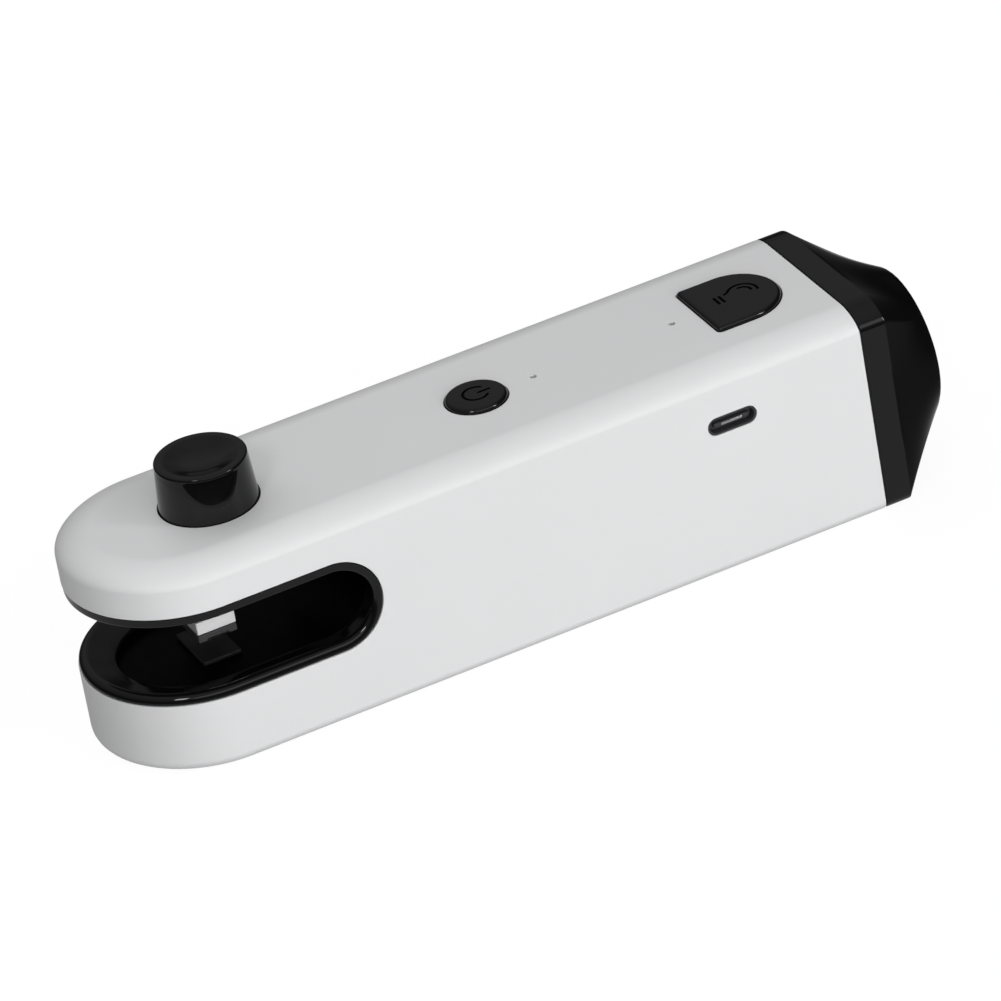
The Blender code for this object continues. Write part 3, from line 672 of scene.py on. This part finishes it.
def cap_half(inset, lower):
    """Half of the casing's section in Y and Z, from the floor's middle up to the top's middle.

    inset shrinks it all round, and lower takes more off the top.
    """
    half = [(y * (HALF_WIDTH - inset - FOOT_RADIUS) / 5, inset) for y in range(5)]
    half += [(HALF_WIDTH - inset - a, inset + b) for a, b in foot()]
    wall_low, wall_high = inset + FOOT_RADIUS, HEIGHT - SHOULDER_DOWN - inset * 0.6 - lower
    half += [(HALF_WIDTH - inset, wall_low + (wall_high - wall_low) * k / 12) for k in range(1, 12)]
    top = HEIGHT - inset - lower * 0.4
    for a, b in shoulder():
        rise = (b - HEIGHT + SHOULDER_DOWN) * (top - wall_high) / SHOULDER_DOWN
        half.append((HALF_WIDTH - inset - a, wall_high + rise))
    last_y, last_z = half[-1]
    half += [(last_y * (1 - k / 5), last_z) for k in range(1, 6)]
    return half


def cap_ring(x, inset, blend, radius, lower=0.0):
    """The band's section at x, moved by blend towards a circle of the mouth."""
    half = cap_half(inset, lower)
    whole = half + [(-y, z) for y, z in half[-2:0:-1]]
    ring = []
    for y, z in whole:
        turn = math.atan2(z - MOUTH_Z, y)
        round_y, round_z = radius * math.cos(turn), MOUTH_Z + radius * math.sin(turn)
        ring.append((x, y + (round_y - y) * blend, z + (round_z - z) * blend))
    return ring


def build_rear_cap():
    """The gloss black cap: a band like the casing's end, a taper to the round mouth, and a spigot."""
    edge = 0.35
    bulge, start = 0.08, 0.004
    rings = [cap_ring(BAND_START, edge, 0, MOUTH_RADIUS)]
    for k in range(1, 4):
        turn = math.pi / 2 * k / 3
        x = BAND_START + edge * (1 - math.cos(turn))
        rings.append(cap_ring(x, edge * (1 - math.sin(turn)), 0, MOUTH_RADIUS))
    rings.append(cap_ring(BAND_END - 0.25, 0, 0, MOUTH_RADIUS))
    reach = MOUTH_X - BAND_END
    for k in range(13):
        t = k / 12
        x = BAND_END + (reach - 0.4) * t
        s = (x - BAND_END) / reach
        rings.append(cap_ring(x, 0, s + bulge * s * (1 - s) + start, MOUTH_RADIUS))
    rings.append(cap_ring(MOUTH_X - 0.12, 0, 1, MOUTH_RADIUS - 0.12))
    rings.append(cap_ring(MOUTH_X, 0, 1, MOUTH_RADIUS - 0.45))
    cap = solid("rear_cap_shell", loft(rings))
    fit, wall, lower = 0.25, 1.45, 1.2
    spigot = loft([cap_ring(x, WALL + fit, 0, MOUTH_BORE, lower) for x in (SHELL_END - 4, BAND_START + 2)])
    carve(cap, spigot, operation="UNION")
    inside = [(SHELL_END - 6, 0.0), (BAND_END, 0.0), (MOUTH_X - 7, 1.0), (MOUTH_X + 2, 1.0)]
    carve(cap, loft([cap_ring(x, WALL + fit + wall, blend, MOUTH_BORE, lower) for x, blend in inside]))
    soften(cap, 0.3, lambda p: p.x > MOUTH_X - 0.01)
    finish(cap, LOOKS["black_gloss"], ["rear_cap"], sharp=26)


def build_mouth():
    """The rubber seal in the mouth and the grille behind it."""
    low = extent("mouth_seal")[0].x
    seal = filleted([(9.9, 0, 0.2), (11.0, 0, 0), (11.0, 2.5, 0.5), (10.45, 2.6, 0.25), (9.9, 2.1, 0.3)],
                    closed=True)
    finish(("suction_seal", moved(lathe(seal, 96, closed=True), (low, 0, MOUTH_Z), "x")),
           LOOKS["black_rubber"], ["mouth_seal"])

    face = extent("inlet_grille")[1].x
    disc = filleted([(0, 0, 0), (8.6, 0, 0.3), (9.1, -0.35, 0.2), (10.9, -0.35, 0.2), (10.9, -1.5, 0.1),
                     (2.4, -1.5, 0.4), (2.4, -4.5, 0.2), (0, -4.5, 0)])
    grille = solid("suction_grille", moved(lathe(disc, 96), (face, 0, MOUTH_Z), "x"))
    circle, hole_radius = 6.5, 1.6
    cutters = []
    for i in range(6):
        turn = math.pi / 3 * i
        y, z = circle * math.cos(turn), MOUTH_Z + circle * math.sin(turn)
        cutters.append(hole(face - 2, y, z, "x", hole_radius, 5, 40))
    carve(grille, *cutters)
    soften(grille, 0.25, lambda p: p.x > face - 0.01)
    finish(grille, LOOKS["dark_plastic"], ["inlet_grille"])


# ---------------------------------------------------------------- underside


def vent_outline(x):
    """A slot across the plate, with round ends."""
    ends = arc((0, VENT_REACH), VENT_RADIUS, 0, 180, 8) + arc((0, -VENT_REACH), VENT_RADIUS, 180, 360, 8)
    return [(x + a, b) for a, b in ends]


def build_base_cover():
    """The plate in the underside, with the pump's vents, and its four countersunk screws."""
    cover = solid("base_plate", prism(plan(PLATE_INSET, PLATE_END), 0.0, PLATE_THICKNESS))
    vents = [prism(vent_outline(x), -1, 3) for x in VENTS]
    sink = [(0, 3), (1.2, 3), (1.2, 1.0), (2.2, 0), (2.2, -1), (0, -1)]
    sinks = [moved(lathe(sink, 40), (spot.x, spot.y, 0)) for spot in COVER_SCREWS]
    carve(cover, *vents, *sinks)
    soften(cover, 0.2, lambda p: p.z < 0.01)
    finish(cover, LOOKS["white_shell"], ["base_cover"])

    body = filleted([(0, 7.0, 0), (0.6, 7.0, 0), (0.85, 6.4, 0.1), (0.85, 1.15, 0.1), (1.85, 0.42, 0.1),
                     (1.85, 0.15, 0.08), (0, 0.1, 0)], steps=3)
    for i, spot in enumerate(COVER_SCREWS):
        screw = solid(f"base_screw_{i + 1}", moved(lathe(body, 48), (spot.x, spot.y, 0)))
        cross = [block((spot.x - a, spot.y - b, -0.5), (spot.x + a, spot.y + b, 0.95))
                 for a, b in ((0.95, 0.17), (0.17, 0.95))]
        carve(screw, *cross)
        finish(screw, LOOKS["steel"], [f"cover_screw_{i + 1}"])


# ---------------------------------------------------------------- press knob and heating head

RIM_Z = KNOB_TOP - 0.55
RIM_ROUND = 0.3
KNOB_BORE = 5.4
KNOB_ROOF = KNOB_TOP - 3.0
KNOB_FLANGE = 9.8
DISH_DEPTH = 1.0

# The thumb's scoop. The knob's mesh is finer from SCOOP_FROM to SCOOP_TO, in degrees. The cut is a flat that
# faces SCOOP_MIDDLE, SCOOP_REACH from the knob's axis at the height SCOOP_LOW, and it leans in above that.
# No face nearer the axis than SCOOP_INNER is the scoop's: the dish and the bore are there.
SCOOP_FROM, SCOOP_TO, SCOOP_MIDDLE = -165.0, -45.0, -101.5
SCOOP_SPREAD = 60.0
SCOOP_INNER = 6.3
SCOOP_LOW = HEIGHT + 3.9
SCOOP_REACH = 8.27
SCOOP_LEAN, SCOOP_BEND = 0.5, 0.02
SCOOP_SHARP, SCOOP_SOFT = 0.03, 0.4


def scoop_depth(angle, z, radius):
    """How far the thumb's flat, which leans back, cuts into the knob's side. Its right edge is soft."""
    away = angle - SCOOP_MIDDLE
    if abs(away) > SCOOP_SPREAD:
        return 0.0
    rise = z - SCOOP_LOW
    flat = SCOOP_REACH - rise * SCOOP_LEAN + rise * rise * SCOOP_BEND
    flat /= math.cos(math.radians(away))
    share = min(max((away - 6) / 12, 0.0), 1.0)
    soft = SCOOP_SHARP + (SCOOP_SOFT - SCOOP_SHARP) * share
    mix = min(max(0.5 + (radius - flat) / (2 * soft), 0.0), 1.0)
    cut = (radius - flat) * mix + soft * mix * (1 - mix)
    roof = min(max((RIM_Z - z) / 0.25, 0.0), 1.0)
    return cut * roof * roof * (3 - 2 * roof)


def build_press_knob():
    """The gloss black push knob: a flange, a slightly tapered side with the scoop, and a dished top."""
    fine, coarse = 0.8, 4.0
    angles = []
    angle = SCOOP_FROM
    while angle < SCOOP_FROM + 360 - 0.01:
        angles.append(angle)
        angle += fine if angle < SCOOP_TO else coarse
    low = extent("press_knob")[0].z
    side_low, side_high = HEIGHT - 2.2, KNOB_TOP - RIM_ROUND
    steps = 84
    heights = [side_low + (side_high - side_low) * k / steps for k in range(steps + 1)]

    def side_radius(z):
        share = min(max((z - HEIGHT) / (KNOB_TOP - HEIGHT), 0.0), 1.0)
        return KNOB_BASE_RADIUS + (KNOB_TOP_RADIUS - KNOB_BASE_RADIUS) * share

    flange_top = side_low - 0.2
    skirt = [(KNOB_BORE, KNOB_ROOF), (KNOB_BORE, low), (KNOB_FLANGE, low), (KNOB_FLANGE, flange_top),
             (KNOB_BASE_RADIUS, flange_top)]
    rim = arc((KNOB_TOP_RADIUS - RIM_ROUND, KNOB_TOP - RIM_ROUND), RIM_ROUND, 10, 90, 5)
    dish = [(radius, KNOB_TOP - down) for radius, down in (
        (6.75, 0.0), (6.5, 0.03), (6.25, 0.09), (5.8, 0.22), (5.3, 0.36), (4.8, 0.5), (4.3, 0.63),
        (3.8, 0.75), (3.1, 0.86), (2.2, 0.95), (1.1, 0.99))]
    shape = bmesh.new()
    rings = []
    for radius, z in skirt:
        rings.append([(radius, z)] * len(angles))
    for z in heights:
        base = side_radius(z)
        rings.append([(base - scoop_depth(a if a < 180 else a - 360, z, base), z) for a in angles])
    for radius, z in rim + dish:
        rings.append([(radius, z)] * len(angles))
    ways = [(math.cos(math.radians(a)), math.sin(math.radians(a))) for a in angles]
    rows = []
    for ring in rings:
        rows.append([shape.verts.new((KNOB_X + r * x, r * y, z)) for (x, y), (r, z) in zip(ways, ring)])
    for lower, upper in zip(rows, rows[1:]):
        for i in range(len(angles)):
            j = (i + 1) % len(angles)
            shape.faces.new((lower[i], lower[j], upper[j], upper[i]))
    roof = shape.verts.new((KNOB_X, 0, KNOB_ROOF))
    crown = shape.verts.new((KNOB_X, 0, KNOB_TOP - DISH_DEPTH))
    for i in range(len(angles)):
        j = (i + 1) % len(angles)
        shape.faces.new((rows[0][j], rows[0][i], roof))
        shape.faces.new((rows[-1][i], rows[-1][j], crown))
    knob = solid("push_knob", shape)

    def in_scoop_shade(at):
        turn = math.degrees(math.atan2(at.y, at.x - KNOB_X))
        on_side = side_low < at.z < side_high and math.hypot(at.x - KNOB_X, at.y) > SCOOP_INNER
        return on_side and scoop_depth(turn, at.z, side_radius(at.z)) > 0.06

    # Painted shade: the scoop's faces take a darker, duller black than the rest of the knob
    paint(knob, SCOOP_PAINTED_SHADE, in_scoop_shade)
    finish(knob, LOOKS["black_gloss"], ["press_knob"], "press_plunger", sharp=60)


def tube(points, radius, sides):
    """A bmesh tube along points, with flat ends."""
    line = [Vector(point) for point in points]
    side = None
    rings = []
    for i, point in enumerate(line):
        way = (line[min(i + 1, len(line) - 1)] - line[max(i - 1, 0)]).normalized()
        if side is None:
            side = way.orthogonal().normalized()
        side = (side - way * side.dot(way)).normalized()
        up = way.cross(side)
        rings.append([point + radius * (side * math.cos(t) + up * math.sin(t))
                      for t in (2 * math.pi * k / sides for k in range(sides))])
    return loft(rings)


def build_spring():
    """The return spring: a coil of wire between its CAD node's ends."""
    low, high = extent("return_spring")
    wire = 0.33
    start, end = low.z + wire, high.z - wire
    radius = (high.x - low.x) / 2 - wire
    turns, per_turn = 6, 28
    points = []
    for i in range(turns * per_turn + 1):
        turn = 2 * math.pi * i / per_turn
        points.append((KNOB_X + radius * math.cos(turn), radius * math.sin(turn),
                       start + (end - start) * i / (turns * per_turn)))
    spring = finish(("coil_spring", tube(points, wire, 10)), LOOKS["steel"], ["return_spring"])
    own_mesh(spring)


def build_head():
    """What shows of the heating head, and the pad below it."""
    low, high = extent("heater_block")
    heater = solid("heater_bar", block(low, high, 0.18))
    finish(heater, LOOKS["aluminium"], ["heater_block"], "press_plunger")

    low, high = extent("heater_tip")
    centre = (low.x + high.x) / 2
    groove = 2.0
    tip = solid("heater_face", block(low, high, 0.22))
    carve(tip, block((centre - groove, low.y - 2, low.z - 1), (centre + groove, high.y + 2, low.z + 0.5)))
    finish(tip, LOOKS["ceramic"], ["heater_tip"], "press_plunger")

    low, high = extent("anvil_pad")
    finish(("seal_pad", block(low, high, 0.3)), LOOKS["grey_silicone"], ["anvil_pad"])


# ---------------------------------------------------------------- buttons, lights and port

MARK_DEPTH = 0.25
MARK_WIDTH = 0.52
MARK_REACH = 4.6
STEM_RADIUS = 1.8


def marks(lines):
    """Cutters for a sign's lines in a button's top."""
    return [stroke(points, MARK_WIDTH, BUTTON_TOP - MARK_DEPTH, BUTTON_TOP + 1) for points in lines]


def paint_sign_shade(button, x):
    """Paints shade into the sign cut into a button's top: its grooves take the painted shade black."""
    low, high = BUTTON_TOP - MARK_DEPTH - 0.01, BUTTON_TOP - 0.01
    paint(button, SHADE_BLACK, lambda at: low < at.z < high and math.hypot(at.x - x, at.y) < MARK_REACH)


def build_power_button():
    """The round button, with a power sign cut in its top."""
    low = extent("power_button")[0].z
    wide = POWER_RADIUS + 0.8
    profile = filleted([(0, BUTTON_TOP, 0), (POWER_RADIUS, BUTTON_TOP, BUTTON_ROUNDING),
                        (POWER_RADIUS, FLANGE_HIGH, 0), (wide, FLANGE_HIGH, 0.1), (wide, FLANGE_LOW, 0.1),
                        (STEM_RADIUS, FLANGE_LOW, 0.2), (STEM_RADIUS, low, 0.1), (0, low, 0)])
    button = solid("power_key_cap", moved(lathe(profile, 96), (POWER_X, 0, 0)))
    centre, radius = (POWER_X + 0.1, 0.3), 2.2
    ring = arc(centre, radius, 42, 318, 40)
    bar = [(centre[0] + 0.55, centre[1]), (centre[0] + 2.6, centre[1])]
    carve(button, *marks([ring, bar]))
    # Painted shade in the power sign's grooves
    paint_sign_shade(button, POWER_X)
    finish(button, LOOKS["black_gloss"], ["power_button"], "power_key")


def build_vacuum_button():
    """The D-shaped button, with a suction sign cut in its top."""
    low = extent("vacuum_button")[0].z
    edge, steps = BUTTON_ROUNDING, 6
    rings = [(FLANGE_OUT, FLANGE_LOW), (FLANGE_OUT, FLANGE_HIGH), (0.0, FLANGE_HIGH)]
    for k in range(steps + 1):
        turn = math.pi / 2 * k / steps
        rings.append((edge * (math.cos(turn) - 1), BUTTON_TOP - edge * (1 - math.sin(turn))))
    button = solid("vacuum_key_cap", loft([[(x, y, z) for x, y in d_outline(grow)] for grow, z in rings]))
    carve(button, hole(VACUUM_ARC_X, 0, low, "z", STEM_RADIUS, 36.0 - low, 48), operation="UNION")
    centre = (VACUUM_ARC_X + 2.15, 0.4)
    hook = [(centre[0] - 3.0, centre[1] + 1.1)] + arc(centre, 2.65, 148, -18, 24)
    small = arc(centre, 1.55, 95, -10, 14)
    bars = [[(centre[0] - shift, -0.75), (centre[0] - shift, 1.5)] for shift in (5.05, 4.05)]
    carve(button, *marks([hook, small, *bars]))
    # Painted shade in the suction sign's grooves
    paint_sign_shade(button, VACUUM_ARC_X)
    finish(button, LOOKS["black_gloss"], ["vacuum_button"], "vacuum_key")


def build_lights():
    """The clear plugs in the indicator holes."""
    tip, base, shelf = 0.45, 1.3, 36.2
    for name, spot in LIGHTS.items():
        low, high = extent(name)
        profile = filleted([(0, high.z + 0.02, 0), (tip, high.z - 0.08, 0.08), (tip, shelf, 0),
                            (base, shelf, 0.1), (base, low.z, 0.1), (0, low.z, 0)])
        finish((name.replace("light_pipe", "light_guide"), moved(lathe(profile, 40), (spot.x, 0, 0))),
               LOOKS["light_pipe"], [name])


def build_port():
    """The charging socket: its shell, its tongue with a back wall, and the tongue's contacts."""
    high = extent("usb_port_shell")[1]
    face = -HALF_WIDTH + 0.12
    spot = (PORT.x, PORT.z)
    mouth = stadium(PORT_LENGTH - 0.08, PORT_HEIGHT - 0.08, centre=spot)
    shell = solid("port_shell", prism(mouth, face, face + 2, "y"))
    body, opening, back = stadium(8.94, 3.26, centre=spot), stadium(8.5, 2.6, centre=spot), (8.2, 2.3)
    carve(shell, prism(body, face + 1.9, high.y, "y"), operation="UNION")
    carve(shell, prism(opening, face - 1, high.y + 1, "y"))
    soften(shell, 0.1, lambda p: p.y < face + 0.01, 2)
    # Painted shade: the shell takes the dark socket metal
    finish(shell, SHADED_PORT_METAL, ["usb_port_shell"])

    high = extent("usb_port_tongue")[1]
    front = face + 0.3
    tongue = solid("port_tongue", block((PORT.x - 3.3, front, PORT.z - 0.35),
                                        (PORT.x + 3.3, high.y - 0.6, PORT.z + 0.35), 0.1))
    carve(tongue, prism(stadium(*back, centre=spot), front + 0.9, high.y, "y"), operation="UNION")
    finish(tongue, SHADED_PORT_METAL, ["usb_port_tongue"])
    plate = block((PORT.x - 2.0, front - 0.12, PORT.z - 0.22),
                  (PORT.x + 2.0, front + 1.2, PORT.z + 0.22), 0.08)
    finish(("port_contacts", plate), LOOKS["steel"])


# ---------------------------------------------------------------- scene

AIM = Vector((-0.893, -2.371, 19.3))
AZIMUTH, ELEVATION, ROLL = (math.radians(turn) for turn in (-20.731, 29.987, -10.37))
DISTANCE = 1471.62
LENS, SENSOR = 310.33, 36.0


def build_camera():
    """A long lens that looks down on the near side, rolled a little."""
    back = Vector((math.sin(AZIMUTH) * math.cos(ELEVATION), -math.cos(AZIMUTH) * math.cos(ELEVATION),
                   math.sin(ELEVATION)))
    right = Vector((math.cos(AZIMUTH), math.sin(AZIMUTH), 0.0))
    up = back.cross(right)
    right, up = (right * math.cos(ROLL) + up * math.sin(ROLL), up * math.cos(ROLL) - right * math.sin(ROLL))
    camera = bpy.data.objects.new("camera", bpy.data.cameras.new("camera"))
    camera.data.lens, camera.data.sensor_width = LENS, SENSOR
    camera.data.clip_end = 20.0
    turn = Matrix((right, up, back)).transposed().to_4x4()
    camera.matrix_world = Matrix.Translation((AIM + back * DISTANCE) * MM) @ turn
    bpy.context.scene.collection.objects.link(camera)
    bpy.context.scene.camera = camera


def sky_direction(turn, height):
    """The way to a light, from angles in degrees: round from the near side towards the nose, and up."""
    turn, height = math.radians(turn), math.radians(height)
    return Vector((-math.sin(turn) * math.cos(height), -math.cos(turn) * math.cos(height), math.sin(height)))


LIGHT_DISTANCE = 1000.0
LIGHT_TARGET = Vector((0, 0, 20))


def add_light(name, turn, height, width, tall, power, mirrored=True):
    """A soft flat light that faces the object's middle. Only mirrored ones show in gloss."""
    lamp = bpy.data.lights.new(name, "AREA")
    lamp.shape = "RECTANGLE"
    lamp.size, lamp.size_y = width * MM, tall * MM
    lamp.energy = power
    thing = bpy.data.objects.new(name, lamp)
    way = sky_direction(turn, height)
    thing.location = (way * LIGHT_DISTANCE + LIGHT_TARGET) * MM
    thing.rotation_euler = way.to_track_quat("Z", "Y").to_euler()
    thing.visible_glossy = mirrored
    bpy.context.scene.collection.objects.link(thing)


# (height of a direction, from -1 straight down to 1 straight up, and the room's brightness there)
ROOM = [(-1.0, 0.56), (-0.42, 0.52), (-0.2, 0.07), (0.06, 0.015), (0.3, 0.13), (0.5, 0.23), (0.75, 0.27),
        (1.0, 0.4)]


def build_room():
    """Grey surroundings, dark at eye level and towards the mouth, that the gloss black parts mirror."""
    world = bpy.data.worlds.new("room")
    bpy.context.scene.world = world
    world.use_nodes = True
    tree = world.node_tree
    place = tree.nodes.new("ShaderNodeTexCoord")
    axes = tree.nodes.new("ShaderNodeSeparateXYZ")
    tree.links.new(place.outputs["Generated"], axes.inputs[0])
    share = add_node(tree, "ShaderNodeMapRange")
    share.inputs["From Min"].default_value = -1.0
    tree.links.new(axes.outputs["Z"], share.inputs["Value"])
    ramp = tree.nodes.new("ShaderNodeValToRGB")
    ramp.color_ramp.interpolation = "EASE"
    for i, (height, bright) in enumerate(ROOM):
        stops = ramp.color_ramp.elements
        stop = stops[i] if i < 2 else stops.new((height + 1) / 2)
        stop.position = (height + 1) / 2
        stop.color = (bright, bright, bright, 1.0)
    tree.links.new(share.outputs["Result"], ramp.inputs["Fac"])
    fade = add_node(tree, "ShaderNodeMapRange")
    fade.interpolation_type = "SMOOTHSTEP"
    fade.inputs["From Min"].default_value = 0.35
    fade.inputs["From Max"].default_value = 0.85
    fade.inputs["To Min"].default_value = 1.0
    fade.inputs["To Max"].default_value = 0.12
    tree.links.new(axes.outputs["X"], fade.inputs["Value"])
    dim = tree.nodes.new("ShaderNodeMix")
    dim.data_type = "RGBA"
    dim.blend_type = "MULTIPLY"
    dim.inputs[0].default_value = 1.0
    tree.links.new(ramp.outputs["Color"], dim.inputs[6])
    tree.links.new(fade.outputs["Result"], dim.inputs[7])
    tree.links.new(dim.outputs[2], tree.nodes["Background"].inputs["Color"])


def build_studio():
    """The room and its soft lights."""
    bpy.context.scene.view_settings.view_transform = "Standard"
    build_room()
    add_light("front", -12, 42, 1500, 375, 2.0)
    add_light("strip_left", 47, 40, 170, 240, 1.6)
    add_light("strip_right", -45, 34, 130, 380, 1.6)
    add_light("fill_low", -5, 8, 1200, 500, 7.2, mirrored=False)
    add_light("fill_right", -35, 14, 900, 600, 0.9, mirrored=False)
    add_light("fill_left", 25, 15, 900, 600, 1.6, mirrored=False)
    add_light("fill_back", 170, 50, 1400, 900, 5.0, mirrored=False)


def build_floor():
    """A pale floor, just under the object, that is kept out of reflections and bounced light."""
    reach, below = 3000, 0.02
    shape = bmesh.new()
    bmesh.ops.create_grid(shape, x_segments=2, y_segments=2, size=reach)
    floor = solid("floor", shape)
    floor.data.transform(Matrix.Translation((0, 0, -below * MM)) @ Matrix.Scale(MM, 4))
    paper = bpy.data.materials.new("paper")
    paper.use_nodes = True
    shader = paper.node_tree.nodes["Principled BSDF"]
    shader.inputs["Base Color"].default_value = (0.08, 0.08, 0.08, 1.0)
    shader.inputs["Roughness"].default_value = 0.9
    shader.inputs["Specular IOR Level"].default_value = 0.1
    shader.inputs["Emission Color"].default_value = (1, 1, 1, 1)
    shader.inputs["Emission Strength"].default_value = 0.93
    floor.data.materials.append(paper)
    floor.visible_glossy = False
    floor.visible_diffuse = False


def main():
    dress_cad_nodes()
    build_housing()
    build_slot_liner()
    build_rear_cap()
    build_mouth()
    build_base_cover()
    build_press_knob()
    build_spring()
    build_head()
    build_power_button()
    build_vacuum_button()
    build_lights()
    build_port()
    build_camera()
    build_studio()
    build_floor()


main()
